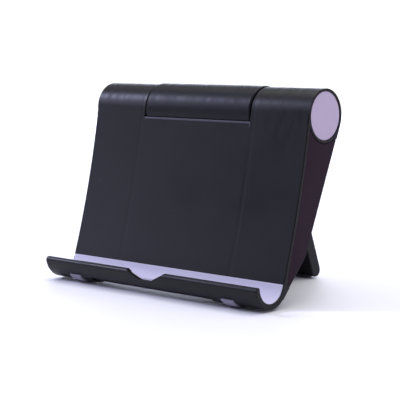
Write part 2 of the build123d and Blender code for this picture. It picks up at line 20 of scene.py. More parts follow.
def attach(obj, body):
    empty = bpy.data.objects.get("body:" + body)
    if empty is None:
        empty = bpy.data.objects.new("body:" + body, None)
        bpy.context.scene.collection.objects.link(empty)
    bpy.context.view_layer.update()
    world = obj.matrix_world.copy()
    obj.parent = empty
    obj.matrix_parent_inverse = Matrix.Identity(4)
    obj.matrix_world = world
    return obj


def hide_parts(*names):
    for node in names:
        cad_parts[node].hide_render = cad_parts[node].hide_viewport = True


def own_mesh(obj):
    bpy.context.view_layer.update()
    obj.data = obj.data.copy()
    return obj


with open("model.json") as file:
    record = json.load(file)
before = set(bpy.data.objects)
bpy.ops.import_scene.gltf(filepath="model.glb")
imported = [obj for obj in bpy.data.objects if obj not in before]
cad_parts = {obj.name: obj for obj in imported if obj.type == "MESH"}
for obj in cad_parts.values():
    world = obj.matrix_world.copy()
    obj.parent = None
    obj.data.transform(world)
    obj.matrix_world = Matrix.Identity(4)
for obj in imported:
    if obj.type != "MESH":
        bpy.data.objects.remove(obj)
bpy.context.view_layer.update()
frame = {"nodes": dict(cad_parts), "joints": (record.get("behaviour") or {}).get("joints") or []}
LOG = logging.getLogger("stand")
MM = 0.001
FAR = 1.0  # metres, well past the stand on every side
SILICONE_IOR = 1.41
NOISE_LOW, NOISE_HIGH = 0.3, 0.7  # where most of a noise texture's values lie
HANDS = (("right", 1), ("left", -1))  # each hand with its side of the middle
Colour = tuple[float, float, float, float]


# ---------------------------------------------------------------- colour and node helpers
def linear(hex_colour: str) -> Colour:
    """Turns an sRGB hex colour into a linear one.

    Args:
        hex_colour: Six hex digits after a hash sign.

    Returns:
        Red, green and blue, linear, and full opacity.
    """
    shares = [int(hex_colour[place : place + 2], 16) / 255 for place in (1, 3, 5)]
    red, green, blue = (s / 12.92 if s <= 0.04045 else ((s + 0.055) / 1.055) ** 2.4 for s in shares)
    return (red, green, blue, 1.0)


def add_node(
    tree: bpy.types.NodeTree,
    kind: str,
    settings: dict[str, object] | None = None,
    inputs: dict[str | int, object] | None = None,
) -> bpy.types.Node:
    """Adds one node with its settings, and sets or links its inputs.

    Args:
        tree: The shader or geometry tree.
        kind: The node's type name.
        settings: Node properties by name.
        inputs: Values or output sockets, by input name or number.

    Returns:
        The new node.
    """
    node = tree.nodes.new(kind)
    for name, value in (settings or {}).items():
        setattr(node, name, value)
    for name, value in (inputs or {}).items():
        if isinstance(value, bpy.types.NodeSocket):
            tree.links.new(value, node.inputs[name])
        else:
            node.inputs[name].default_value = value
    return node


# ---------------------------------------------------------------- side view and mesh helpers
class Frame(Enum):
    """Which turning frame a side profile is drawn in."""

    BODY = "stand_body"
    LEG = "leg"


@dataclass(frozen=True)
class Stance:
    """Side view of the stand: where its cradle, leg and hinge lie, in the frame of its backs.

    The first axis points out of the backs of the covers and the second runs up them.  The hinge is the
    origin, and everything is in millimetres.
    """

    hinge: Vector
    hinge_to_cradle: float = 61.0
    cradle_forward: float = 4.7
    cradle_radius: float = 6.3
    wall: float = 2.1
    barrel_radius: float = 9.25
    bow_radius: float = 360.0
    leg_barrel_radius: float = 9.6
    leg_thickness: float = 5.0
    lug_proud: float = 0.5
    pad_proud: float = 0.6
    opening_deg: float = 45.0
    lip_deg: float = 155.5

    @property
    def cradle(self) -> Vector:
        """Axis of the cradle."""
        return Vector((-self.cradle_forward, -self.hinge_to_cradle))

    @property
    def cradle_outer(self) -> float:
        """Outside radius of the cradle."""
        return self.cradle_radius + self.wall

    @property
    def leg_tip(self) -> Vector:
        """Centre of the leg's round tip, in the leg's own frame."""
        tip = self.leg_thickness / 2
        return Vector((self.leg_barrel_radius - tip, tip - self.hinge_to_cradle - self.cradle_outer))

    @property
    def lean(self) -> float:
        """Solves the lean that puts the lugs and the leg's pads on one level.

        Returns:
            How far the backs lean, in radians.
        """
        turn = math.radians(self.opening_deg)
        foot = self.leg_tip
        foot = Vector(
            (
                foot.x * math.cos(turn) - foot.y * math.sin(turn),
                foot.x * math.sin(turn) + foot.y * math.cos(turn),
            )
        )
        reach = foot - self.cradle
        drop = self.cradle_outer + self.lug_proud - self.leg_thickness / 2 - self.pad_proud
        return math.atan2(reach.y, reach.x) + math.asin(drop / reach.length)

    @property
    def bow(self) -> Vector:
        """Finds the panel's hollow curve, which touches the barrel and the cradle.

        Returns:
            The curve's centre.
        """
        to_hinge = self.bow_radius + self.barrel_radius
        to_cradle = self.bow_radius - self.cradle_radius
        gap = self.cradle.length
        along = (to_hinge**2 - to_cradle**2 + gap**2) / (2 * gap)
        aside = math.sqrt(to_hinge**2 - along**2)
        unit = self.cradle / gap
        return Vector((along * unit.x + aside * unit.y, along * unit.y - aside * unit.x))

    def matrix(self, which: Frame) -> Matrix:
        """Places a profile drawn in millimetres, with its third axis along the hinge.

        Args:
            which: The body or the leg.

        Returns:
            The change from the profile's millimetres to the shared frame's metres.
        """
        turn = -self.lean + (math.radians(self.opening_deg) if which is Frame.LEG else 0.0)
        cosine, sine = math.cos(turn), math.sin(turn)
        axes = Matrix(((0, 0, 1, 0), (cosine, -sine, 0, 0), (sine, cosine, 0, 0), (0, 0, 0, 1)))
        return Matrix.Scale(MM, 4) @ Matrix.Translation(self.hinge) @ axes

    def height(self, point: Vector) -> float:
        """Height over the table of a point of the body's profile, in millimetres."""
        return (self.matrix(Frame.BODY) @ Vector((point.x, point.y, 0.0))).z / MM


def on_arc(centre: Vector, radius: float, start_deg: float, end_deg: float, steps: int) -> list[Vector]:
    """Points along an arc.

    Args:
        centre: The arc's centre.
        radius: Its radius.
        start_deg: Angle of its first point.
        end_deg: Angle of its last point.
        steps: How many lengths it has.

    Returns:
        One point more than the steps.
    """
    angles = (math.radians(start_deg + (end_deg - start_deg) * step / steps) for step in range(steps + 1))
    return [centre + radius * Vector((math.cos(angle), math.sin(angle))) for angle in angles]


def new_mesh(name: str, bm: bmesh.types.BMesh) -> bpy.types.Mesh:
    """Turns a bmesh into a mesh and frees it.

    Args:
        name: The mesh's name.
        bm: The bmesh, which can't be used afterwards.

    Returns:
        The mesh.
    """
    mesh = bpy.data.meshes.new(name)
    bm.to_mesh(mesh)
    bm.free()
    return mesh


def show(name: str, mesh: bpy.types.Mesh) -> bpy.types.Object:
    """Adds an object for a mesh to the scene.

    Args:
        name: The object's name.
        mesh: Its mesh.

    Returns:
        The object, at the origin.
    """
    thing = bpy.data.objects.new(name, mesh)
    bpy.context.scene.collection.objects.link(thing)
    return thing


def settle(thing: bpy.types.Object) -> bpy.types.Object:
    """Turns what an object's modifiers make into its plain mesh.

    Args:
        thing: The object, which keeps its place at the origin.

    Returns:
        The same object, without modifiers.
    """
    view = bpy.context.evaluated_depsgraph_get()
    thing.data = bpy.data.meshes.new_from_object(thing.evaluated_get(view), depsgraph=view)
    thing.modifiers.clear()
    return thing


def grown(
    name: str,
    seed: bpy.types.Mesh,
    tree: bpy.types.GeometryNodeTree,
    values: dict[str, object],
) -> bpy.types.Mesh:
    """Runs a Geometry Nodes tree and keeps the mesh it makes.

    Args:
        name: Name of the object that carries the tree.
        seed: The mesh that the tree starts from.
        tree: The tree.
        values: The tree's inputs by name.

    Returns:
        What the tree makes, as a plain mesh.
    """
    carrier = show(name, seed)
    nodes = carrier.modifiers.new(tree.name, "NODES")
    nodes.node_group = tree
    for socket in tree.interface.items_tree:
        if socket.in_out == "INPUT" and socket.name in values:
            nodes[socket.identifier] = values[socket.name]
    mesh = settle(carrier).data
    bpy.data.objects.remove(carrier)
    return mesh


def smooth_by_angle(mesh: bpy.types.Mesh, angle_deg: float = 35.0) -> None:
    """Shades a mesh smooth, apart from its sharp edges."""
    mesh.shade_smooth()
    mesh.set_sharp_from_angle(angle=math.radians(angle_deg))


@dataclass(frozen=True)
class StripTree:
    """Geometry Nodes tree of a moulded rubber strip: a rounded bar section swept along a flat path."""

    name: str = "moulded_strip"
    corner_steps: int = 4

    def tree(self) -> bpy.types.GeometryNodeTree:
        """Makes the tree, or returns the one made before.

        Returns:
            A tree with inputs for the path, the strip's width, thickness and edge round, and its finish.
        """
        made = bpy.data.node_groups.get(self.name)
        if made:
            return made
        tree = bpy.data.node_groups.new(self.name, "GeometryNodeTree")
        sockets = tree.interface
        sockets.new_socket("Path", in_out="INPUT", socket_type="NodeSocketGeometry")
        for label in ("Width", "Thickness", "Edge Round"):
            sockets.new_socket(label, in_out="INPUT", socket_type="NodeSocketFloat")
        sockets.new_socket("Finish", in_out="INPUT", socket_type="NodeSocketMaterial")
        sockets.new_socket("Strip", in_out="OUTPUT", socket_type="NodeSocketGeometry")
        given = add_node(tree, "NodeGroupInput").outputs
        path = add_node(tree, "GeometryNodeMeshToCurve", inputs={"Mesh": given["Path"]})
        # The path lies flat, so its own upright keeps the section square to it all the way
        upright = add_node(
            tree, "GeometryNodeSetCurveNormal", {"mode": "Z_UP"}, {"Curve": path.outputs["Curve"]}
        )
        bar = add_node(
            tree,
            "GeometryNodeCurvePrimitiveQuadrilateral",
            inputs={"Width": given["Thickness"], "Height": given["Width"]},
        )
        rounded = add_node(
            tree,
            "GeometryNodeFilletCurve",
            {"mode": "POLY"},
            {"Curve": bar.outputs["Curve"], "Count": self.corner_steps, "Radius": given["Edge Round"]},
        )
        strip = add_node(
            tree,
            "GeometryNodeCurveToMesh",
            inputs={
                "Curve": upright.outputs["Curve"],
                "Profile Curve": rounded.outputs["Curve"],
                "Fill Caps": True,
            },
        )
        real = add_node(tree, "GeometryNodeRealizeInstances", inputs={"Geometry": strip.outputs["Mesh"]})
        dressed = add_node(
            tree,
            "GeometryNodeSetMaterial",
            inputs={"Geometry": real.outputs["Geometry"], "Material": given["Finish"]},
        )
        add_node(tree, "NodeGroupOutput", inputs={"Strip": dressed.outputs["Geometry"]})
        return tree

    def strip(
        self,
        name: str,
        path: Sequence[Vector],
        sizes: dict[str, float],
        finish: bpy.types.Material,
        place: Matrix,
    ) -> bpy.types.Mesh:
        """Makes one strip.

        Args:
            name: The mesh's name.
            path: Points of the path, in millimetres.
            sizes: The tree's inputs by name, in millimetres.
            finish: The strip's material.
            place: The change from the path's millimetres to the shared frame.

        Returns:
            A closed mesh in the shared frame.
        """
        line = bpy.data.meshes.new(name)
        line.from_pydata([(*point, 0.0) for point in path], [(i, i + 1) for i in range(len(path) - 1)], [])
        mesh = grown(name, line, self.tree(), {**sizes, "Finish": finish})
        mesh.transform(place)
        return mesh


def joined(name: str, meshes: Sequence[bpy.types.Mesh]) -> bpy.types.Mesh:
    """Puts meshes together, each with its own material.

    Args:
        name: The new mesh's name.
        meshes: Closed meshes with one material each.

    Returns:
        One mesh with merged doubles and outward faces.
    """
    bm = bmesh.new()
    finishes: list[bpy.types.Material] = []
    for mesh in meshes:
        finish = mesh.materials[0]
        if finish not in finishes:
            finishes.append(finish)
        known = len(bm.faces)
        bm.from_mesh(mesh)
        bm.faces.ensure_lookup_table()
        for face in bm.faces[known:]:
            face.material_index = finishes.index(finish)
    bmesh.ops.recalc_face_normals(bm, faces=bm.faces[:])
    result = new_mesh(name, bm)
    for finish in finishes:
        result.materials.append(finish)
    return result


def cut_at_table(mesh: bpy.types.Mesh) -> None:
    """Cuts a mesh off flat at the table and closes it there.

    Args:
        mesh: A closed mesh in the shared frame, which is changed.
    """
    bm = bmesh.new()
    bm.from_mesh(mesh)
    every = bm.verts[:] + bm.edges[:] + bm.faces[:]
    made = bmesh.ops.bisect_plane(bm, geom=every, plane_co=(0, 0, 0), plane_no=(0, 0, 1), clear_inner=True)
    rim = [part for part in made["geom_cut"] if isinstance(part, bmesh.types.BMEdge)]
    if rim:
        bmesh.ops.holes_fill(bm, edges=rim, sides=0)
    bmesh.ops.recalc_face_normals(bm, faces=bm.faces[:])
    bm.to_mesh(mesh)
    bm.free()


# ---------------------------------------------------------------- finishes
@dataclass(frozen=True)
class PaintedEdgeHighlight:
    """A painted highlight along the edge of the panel's opening: a thin pale band in the base colour that
    stands in for the light its rounded edge catches.
    """

    hinge: Vector
    half_width_mm: float = 24.9
    radius_mm: float = 10.05
    band_mm: float = 0.3
    side_band_mm: float = 0.25
    slack_mm: float = 0.05
    lowest_mm: float = 4.4
    # Pale colour of the painted highlight band on the opening's edge
    colour: str = "#45454e"

    def share(self, tree: bpy.types.NodeTree, place: bpy.types.NodeSocket) -> bpy.types.NodeSocket:
        """Says where the painted highlight lies along the edge.

        Args:
            tree: The material's tree.
            place: Object coordinates.

        Returns:
            One along the opening's lower edge and its right side, and nought elsewhere.
        """
        axes = add_node(tree, "ShaderNodeSeparateXYZ", inputs={0: place}).outputs
        across = add_node(tree, "ShaderNodeMath", {"operation": "ABSOLUTE"}, {0: axes["X"]}).outputs[0]
        flat = add_node(
            tree,
            "ShaderNodeCombineXYZ",
            inputs={"X": self.hinge.x, "Y": axes["Y"], "Z": axes["Z"]},
        )
        reach = add_node(
            tree, "ShaderNodeVectorMath", {"operation": "DISTANCE"}, {0: flat.outputs[0], 1: self.hinge}
        ).outputs["Value"]
        near_radius = (self.radius_mm - self.slack_mm) * MM
        near_side = (self.half_width_mm - self.slack_mm) * MM
        front = self._between(tree, axes["Y"], -FAR, self.hinge.y)
        below = self._between(tree, reach, near_radius, (self.radius_mm + self.band_mm) * MM)
        inside = self._between(tree, across, -FAR, self.half_width_mm * MM)
        edge = self._between(tree, axes["X"], near_side, (self.half_width_mm + self.side_band_mm) * MM)
        height = self._between(tree, axes["Z"], self.hinge.z - self.lowest_mm * MM, FAR)
        lower = self._product(tree, (front, below, inside))
        side = self._product(tree, (front, edge, height))
        return add_node(tree, "ShaderNodeMath", {"operation": "MAXIMUM"}, {0: lower, 1: side}).outputs[0]

    @staticmethod
    def _between(
        tree: bpy.types.NodeTree, value: bpy.types.NodeSocket, low: float, high: float
    ) -> bpy.types.NodeSocket:
        """Tells where a value lies between two others.

        Args:
            tree: The material's tree.
            value: The value.
            low: Its least.
            high: Its most.

        Returns:
            One between the two, and nought outside them.
        """
        middle, half = (low + high) / 2, (high - low) / 2
        within = add_node(tree, "ShaderNodeMath", {"operation": "COMPARE"}, {0: value, 1: middle, 2: half})
        return within.outputs[0]

    @staticmethod
    def _product(tree: bpy.types.NodeTree, shares: Sequence[bpy.types.NodeSocket]) -> bpy.types.NodeSocket:
        """Multiplies shares together.

        Args:
            tree: The material's tree.
            shares: One share or more.

        Returns:
            Their product.
        """
        total = shares[0]
        for share in shares[1:]:
            both = add_node(tree, "ShaderNodeMath", {"operation": "MULTIPLY"}, {0: total, 1: share})
            total = both.outputs[0]
        return total


@dataclass(frozen=True)
class MouldedPlastic:
    """Injection-moulded plastic with a fine spark-eroded grain from the mould's wall."""

    name: str
    colour: str
    worn_colour: str
    roughness: float
    ior: float = 1.53
    specular: float = 0.5
    grain_mm: float = 0.35
    grain_depth_mm: float = 0.008
    edge_round_mm: float = 0.2
    cloud_mm: float = 26.0
    streak_mm: float = 2.6
    streak_stretch: float = 0.3
    streak_share: float = 0.8
    streak_share_below: float = 0.15
    handled_above_mm: float = 59.0
    handled_fade_mm: float = 5.0
    roughness_swing: float = 0.09
    sink_lines_mm: tuple[float, ...] = ()
    sink_depth_mm: float = 0.0
    sink_half_mm: float = 1.4
    dust_mm: float = 0.0
    dust_spacing_mm: float = 7.0
    dust_colour: str = "#85858f"

    def material(self, edge_highlight: PaintedEdgeHighlight | None = None) -> bpy.types.Material:
        """Makes the material.

        Args:
            edge_highlight: An edge with a painted highlight band, where there is one.

        Returns:
            Satin plastic: a fine grain breaks up the gloss, edges carry a thin soft highlight, handling
                has polished it in soft patches, and a given edge gets a painted highlight band.
        """
        material = bpy.data.materials.new(self.name)
        material.use_nodes = True
        tree = material.node_tree
        shader = tree.nodes["Principled BSDF"]
        place = add_node(tree, "ShaderNodeTexCoord").outputs["Object"]
        cloud = add_node(
            tree,
            "ShaderNodeTexNoise",
            inputs={"Vector": place, "Scale": 1 / (self.cloud_mm * MM), "Detail": 4.0, "Roughness": 0.6},
        ).outputs["Fac"]
        colour = self._mixed(tree, cloud, linear(self.colour), linear(self.worn_colour))
        if self.dust_mm:
            colour = self._mixed(tree, self._dust(tree, place), colour, linear(self.dust_colour))
        # Paints the highlight band of the opening's edge into the base colour
        if edge_highlight:
            colour = self._mixed(tree, edge_highlight.share(tree, place), colour, linear(edge_highlight.colour))
        tree.links.new(colour, shader.inputs["Base Color"])
        gloss = add_node(
            tree,
            "ShaderNodeMapRange",
            inputs={
                "Value": self._handled(tree, place, cloud),
                "From Min": NOISE_LOW,
                "From Max": NOISE_HIGH,
                "To Min": self.roughness - self.roughness_swing,
                "To Max": self.roughness + self.roughness_swing,
            },
        )
        tree.links.new(gloss.outputs["Result"], shader.inputs["Roughness"])
        tree.links.new(self._surface(tree, place), shader.inputs["Normal"])
        shader.inputs["IOR"].default_value = self.ior
        shader.inputs["Specular IOR Level"].default_value = self.specular
        return material

    def _handled(
        self, tree: bpy.types.NodeTree, place: bpy.types.NodeSocket, cloud: bpy.types.NodeSocket
    ) -> bpy.types.NodeSocket:
        """Adds the streaks that fingers leave as they wipe across the hinge.

        Args:
            tree: The material's tree.
            place: Object coordinates.
            cloud: The soft patches.

        Returns:
            Patches and streaks together, about a half on average.
        """
        drawn_out = add_node(
            tree,
            "ShaderNodeMapping",
            {"vector_type": "POINT"},
            {"Vector": place, "Scale": (1.0, self.streak_stretch, self.streak_stretch)},
        )
        streaks = add_node(
            tree,
            "ShaderNodeTexNoise",
            inputs={
                "Vector": drawn_out.outputs["Vector"],
                "Scale": 1 / (self.streak_mm * MM),
                "Detail": 3.0,
                "Distortion": 0.4,
            },
        )
        height = add_node(tree, "ShaderNodeSeparateXYZ", inputs={0: place}).outputs["Z"]
        share = add_node(
            tree,
            "ShaderNodeMapRange",
            inputs={
                "Value": height,
                "From Min": (self.handled_above_mm - self.handled_fade_mm) * MM,
                "From Max": self.handled_above_mm * MM,
                "To Min": self.streak_share_below,
                "To Max": self.streak_share,
            },
        )
        both = add_node(
            tree,
            "ShaderNodeMix",
            {"data_type": "FLOAT"},
            {0: share.outputs["Result"], 2: cloud, 3: streaks.outputs["Fac"]},
        )
        return both.outputs[0]

    @staticmethod
    def _mixed(
        tree: bpy.types.NodeTree,
        share: bpy.types.NodeSocket,
        first: bpy.types.NodeSocket | Colour,
        second: bpy.types.NodeSocket | Colour,
    ) -> bpy.types.NodeSocket:
        """Mixes two colours by a share."""
        mix = add_node(tree, "ShaderNodeMix", {"data_type": "RGBA"}, {0: share, 6: first, 7: second})
        return mix.outputs[2]

    def _surface(self, tree: bpy.types.NodeTree, place: bpy.types.NodeSocket) -> bpy.types.NodeSocket:
        """Gives the surface its rounded edges, grain and sinks.

        Args:
            tree: The material's tree.
            place: Object coordinates.

        Returns:
            The surface's normal.
        """
        height = add_node(
            tree,
            "ShaderNodeTexNoise",
            inputs={"Vector": place, "Scale": 1 / (self.grain_mm * MM), "Detail": 2.0},
        ).outputs["Fac"]
        height = add_node(
            tree, "ShaderNodeMath", {"operation": "MULTIPLY"}, {0: height, 1: self.grain_depth_mm}
        ).outputs[0]
        for x_mm in self.sink_lines_mm:
            height = self._with_sink(tree, place, height, x_mm)
        rounded = add_node(
            tree, "ShaderNodeBevel", {"samples": 6}, {"Radius": self.edge_round_mm * MM}
        ).outputs["Normal"]
        bump = add_node(
            tree,
            "ShaderNodeBump",
            inputs={"Height": height, "Strength": 1.0, "Distance": MM, "Normal": rounded},
        )
        return bump.outputs["Normal"]

    def _with_sink(
        self,
        tree: bpy.types.NodeTree,
        place: bpy.types.NodeSocket,
        height: bpy.types.NodeSocket,
        x_mm: float,
    ) -> bpy.types.NodeSocket:
        """Adds a shallow moulding sink along a wall behind the surface.

        Args:
            tree: The material's tree.
            place: Object coordinates.
            height: The height so far, in millimetres.
            x_mm: The wall's place along the stand.

        Returns:
            The height with the sink taken out.
        """
        across = add_node(tree, "ShaderNodeSeparateXYZ", inputs={0: place}).outputs["X"]
        away = add_node(tree, "ShaderNodeMath", {"operation": "SUBTRACT"}, {0: across, 1: x_mm * MM})
        distance = add_node(tree, "ShaderNodeMath", {"operation": "ABSOLUTE"}, {0: away.outputs[0]})
        sink = add_node(
            tree,
            "ShaderNodeMapRange",
            {"interpolation_type": "SMOOTHSTEP"},
            {
                "Value": distance.outputs[0],
                "From Min": 0.0,
                "From Max": self.sink_half_mm * MM,
                "To Min": self.sink_depth_mm,
                "To Max": 0.0,
            },
        )
        total = add_node(
            tree, "ShaderNodeMath", {"operation": "SUBTRACT"}, {0: height, 1: sink.outputs["Result"]}
        )
        return total.outputs[0]

    def _dust(self, tree: bpy.types.NodeTree, place: bpy.types.NodeSocket) -> bpy.types.NodeSocket:
        """Scatters specks of lint, drawn about twice life size so that they show.

        Args:
            tree: The material's tree.
            place: Object coordinates.

        Returns:
            The share of lint over the plastic.
        """
        cells = add_node(
            tree,
            "ShaderNodeTexVoronoi",
            inputs={"Vector": place, "Scale": 1 / (self.dust_spacing_mm * MM)},
        ).outputs
        near = add_node(
            tree,
            "ShaderNodeMath",
            {"operation": "LESS_THAN"},
            {0: cells["Distance"], 1: self.dust_mm / self.dust_spacing_mm},
        ).outputs[0]
        chance = add_node(tree, "ShaderNodeSeparateColor", inputs={0: cells["Color"]}).outputs["Red"]
        return add_node(tree, "ShaderNodeMath", {"operation": "MULTIPLY"}, {0: near, 1: chance}).outputs[0]


@dataclass(frozen=True)
class Silicone:
    """Compression-moulded silicone rubber: matt, with a faint grain and a soft sheen of dust."""

    name: str
    colour: str
    shade_colour: str
    roughness: float = 0.62
    cloud_mm: float = 12.0
    grain_mm: float = 0.5
    grain_depth_mm: float = 0.01
    grain_strength: float = 0.6
    sheen: float = 0.15
    sheen_roughness: float = 0.5

    def material(self) -> bpy.types.Material:
        """Makes the material.

        Returns:
            Matt rubber whose colour drifts a little and whose edges catch a soft sheen.
        """
        material = bpy.data.materials.new(self.name)
        material.use_nodes = True
        tree = material.node_tree
        shader = tree.nodes["Principled BSDF"]
        place = add_node(tree, "ShaderNodeTexCoord").outputs["Object"]
        cloud = add_node(
            tree,
            "ShaderNodeTexNoise",
            inputs={"Vector": place, "Scale": 1 / (self.cloud_mm * MM), "Detail": 4.0},
        )
        colour = add_node(
            tree,
            "ShaderNodeMix",
            {"data_type": "RGBA"},
            {0: cloud.outputs["Fac"], 6: linear(self.shade_colour), 7: linear(self.colour)},
        )
        tree.links.new(colour.outputs[2], shader.inputs["Base Color"])
        grain = add_node(
            tree,
            "ShaderNodeTexNoise",
            inputs={"Vector": place, "Scale": 1 / (self.grain_mm * MM), "Detail": 3.0},
        )
        bump = add_node(
            tree,
            "ShaderNodeBump",
            inputs={
                "Height": grain.outputs["Fac"],
                "Strength": self.grain_strength,
                "Distance": self.grain_depth_mm * MM,
            },
        )
        tree.links.new(bump.outputs["Normal"], shader.inputs["Normal"])
        shader.inputs["Roughness"].default_value = self.roughness
        shader.inputs["IOR"].default_value = SILICONE_IOR
        shader.inputs["Sheen Weight"].default_value = self.sheen
        shader.inputs["Sheen Roughness"].default_value = self.sheen_roughness
        return material


@dataclass(frozen=True)
class ShadedSilicone:
    """The same silicone painted greyer as shade on the lugs under the cradle, with a painted contact
    shadow darkest where it touches the table.
    """

    name: str
    colour: str
    # Colour of the painted contact shadow where the lug meets the table
    contact_shade_colour: str
    roughness: float = 0.7
    contact_mm: float = 0.2
    unshaded_mm: float = 2.0
    shade_noise_mm: float = 1.5
    shade_noise_reach_mm: float = 0.8

    def material(self) -> bpy.types.Material:
        """Makes the material.

        Returns:
            Matt grey rubber with painted shade, darkening toward the table as a painted contact shadow.
        """
        material = bpy.data.materials.new(self.name)
        material.use_nodes = True
        tree = material.node_tree
        shader = tree.nodes["Principled BSDF"]
        place = add_node(tree, "ShaderNodeTexCoord").outputs["Object"]
        height = add_node(tree, "ShaderNodeSeparateXYZ", inputs={0: place}).outputs["Z"]
        shade_noise = add_node(
            tree,
            "ShaderNodeTexNoise",
            inputs={"Vector": place, "Scale": 1 / (self.shade_noise_mm * MM), "Detail": 3.0},
        )
        uneven = add_node(
            tree,
            "ShaderNodeMath",
            {"operation": "MULTIPLY_ADD"},
            {0: shade_noise.outputs["Fac"], 1: self.shade_noise_reach_mm * MM, 2: height},
        )
        # Painted contact shadow: darkest at the table and fading out a little way up, with its edge broken
        # by noise
        unshaded = add_node(
            tree,
            "ShaderNodeMapRange",
            {"interpolation_type": "SMOOTHSTEP"},
            {
                "Value": uneven.outputs[0],
                "From Min": self.contact_mm * MM,
                "From Max": self.unshaded_mm * MM,
            },
        )
        colour = add_node(
            tree,
            "ShaderNodeMix",
            {"data_type": "RGBA"},
            {0: unshaded.outputs["Result"], 6: linear(self.contact_shade_colour), 7: linear(self.colour)},
        )
        tree.links.new(colour.outputs[2], shader.inputs["Base Color"])
        shader.inputs["Roughness"].default_value = self.roughness
        shader.inputs["IOR"].default_value = SILICONE_IOR
        return material


@dataclass(frozen=True)
class DrawnSteel:
    """Bright zinc-plated or drawn steel with fine lines along the hinge."""

    name: str
    colour: str
    roughness: float = 0.3
    line_mm: float = 0.15
    line_stretch: float = 0.03
    brighter: float = 0.08
    duller: float = 0.12

    def material(self) -> bpy.types.Material:
        """Makes the material.

        Returns:
            Metal with drawing lines that vary its gloss.
        """
        material = bpy.data.materials.new(self.name)
        material.use_nodes = True
        tree = material.node_tree
        shader = tree.nodes["Principled BSDF"]
        place = add_node(tree, "ShaderNodeTexCoord").outputs["Object"]
        stretch = add_node(
            tree, "ShaderNodeMapping", inputs={"Vector": place, "Scale": (self.line_stretch, 1.0, 1.0)}
        )
        lines = add_node(
            tree,
            "ShaderNodeTexNoise",
            inputs={"Vector": stretch.outputs[0], "Scale": 1 / (self.line_mm * MM), "Detail": 2.0},
        )
        gloss = add_node(
            tree,
            "ShaderNodeMapRange",
            inputs={
                "Value": lines.outputs["Fac"],
                "To Min": self.roughness - self.brighter,
                "To Max": self.roughness + self.duller,
            },
        )
        tree.links.new(gloss.outputs["Result"], shader.inputs["Roughness"])
        shader.inputs["Base Color"].default_value = linear(self.colour)
        shader.inputs["Metallic"].default_value = 1.0
        return material


# Near-black with a cool cast and a broad dull gloss, wiped lighter by fingers round the hinge
SATIN_ABS = MouldedPlastic(
    "black_abs_satin",
    "#0a0a0e",
    "#101014",
    0.4,
    specular=0.2,
    sink_lines_mm=(-26.2, 26.2),
    sink_depth_mm=0.024,
    dust_mm=0.2,
)
# Flatter than the sheet and a warm plum-black, so the sides read as shaded
COVER_ABS = MouldedPlastic("black_abs_side_moulding", "#1d0d1c", "#210f20", 0.5, specular=0.1)
# The sheet's black again, a shade duller
LEG_ABS = MouldedPlastic("black_abs_leg_moulding", "#0e0e14", "#131319", 0.42, specular=0.16)
# Flat pastel discs with hardly any shine
CAP_PLASTIC = MouldedPlastic("lavender_abs_cap", "#ab9cb4", "#b0a1b9", 0.55, grain_depth_mm=0.01)
# Milky white and slightly waxy
ACETAL = MouldedPlastic("natural_acetal", "#e4e2da", "#ebe9e2", 0.35, grain_depth_mm=0.003)
# Pale and chalky, the brightest thing on the stand
LAVENDER_SILICONE = Silicone("lavender_silicone", "#ccc9dd", "#c6c3d7")
# The same rubber painted grey as shade, with a painted contact shadow almost black where it touches the
# table
SHADED_SILICONE = ShadedSilicone("lavender_silicone_painted_shade", "#8d8a9b", "#44424d")
# Dark and dead matt, only just told from the leg
GREY_SILICONE = Silicone("dark_grey_silicone", "#2c2c31", "#27272b")
# Bright silver with fine lines along the hinge
BRIGHT_STEEL = DrawnSteel("zinc_plated_steel", "#c9c9cc")
# Darker and a little glossier silver
SPRING_STEEL = DrawnSteel("drawn_spring_steel", "#b3b3b6", 0.25)


